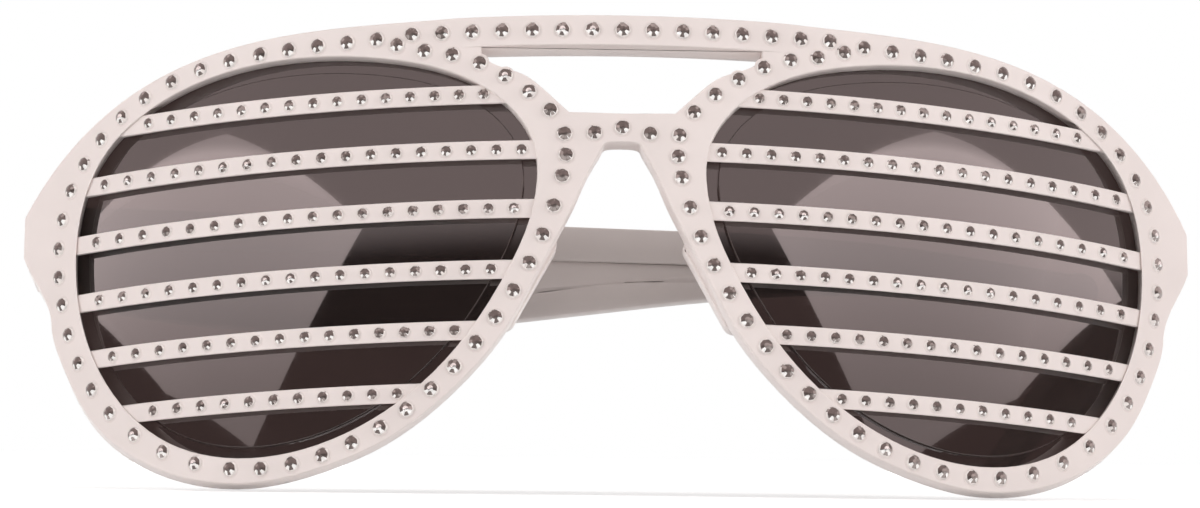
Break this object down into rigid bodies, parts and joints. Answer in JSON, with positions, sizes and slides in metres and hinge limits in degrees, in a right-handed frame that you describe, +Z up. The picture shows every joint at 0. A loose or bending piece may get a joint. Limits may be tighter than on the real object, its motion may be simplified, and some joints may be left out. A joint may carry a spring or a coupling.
{
  "type": "slatted novelty glasses",
  "caption": "White aviator-shaped novelty glasses with slats and rows of clear stones across smoke lenses, a brow bar and folding temples.",
  "frame": {"origin": "centre of the rectangle that the glasses cover on the table, at table height", "axes": "+Z up from the table; +Y back towards the wearer, along the open temple; +X to the viewer's right. The glasses stand on both rims and the tip of the open temple, so the front leans back about 10 degrees."},
  "size_m": [0.15, 0.1704, 0.0588],
  "materials": {
    "white_plastic": "moulded warm white plastic, soft gloss",
    "smoke_lens": "smoke tinted plastic lens, glossy, brown-grey",
    "stones": "clear faceted stones with silver foil backs",
    "screw_steel": "small plated hinge screws"
  },
  "bodies": {
    "front": {"front_frame": "white_plastic", "smoke_lens_left": "smoke_lens", "smoke_lens_right": "smoke_lens", "hinge_screw_left": "screw_steel", "hinge_screw_right": "screw_steel", "slat_1_stones_left": "stones", "slat_2_stones_left": "stones", "slat_3_stones_left": "stones", "slat_4_stones_left": "stones", "slat_5_stones_left": "stones", "slat_6_stones_left": "stones", "slat_1_stones_right": "stones", "slat_2_stones_right": "stones", "slat_3_stones_right": "stones", "slat_4_stones_right": "stones", "slat_5_stones_right": "stones", "slat_6_stones_right": "stones", "rim_stones_left": "stones", "rim_stones_right": "stones", "brow_stones": "stones", "bridge_stones": "stones"},
    "temple_left_arm": {"temple_left": "white_plastic"},
    "temple_right_arm": {"temple_right": "white_plastic"}
  },
  "joints": [
    {"name": "left_temple_hinge", "type": "hinge", "parent": "front", "child": "temple_left_arm", "pos_m": [-0.0714, -0.04595, 0.03004], "axis": [0, 0.175, 0.9846], "range_deg": [0, 91.5]},
    {"name": "right_temple_hinge", "type": "hinge", "parent": "front", "child": "temple_right_arm", "pos_m": [0.0714, -0.04595, 0.03004], "axis": [0, 0.175, 0.9846], "range_deg": [0, 87]}
  ]
}
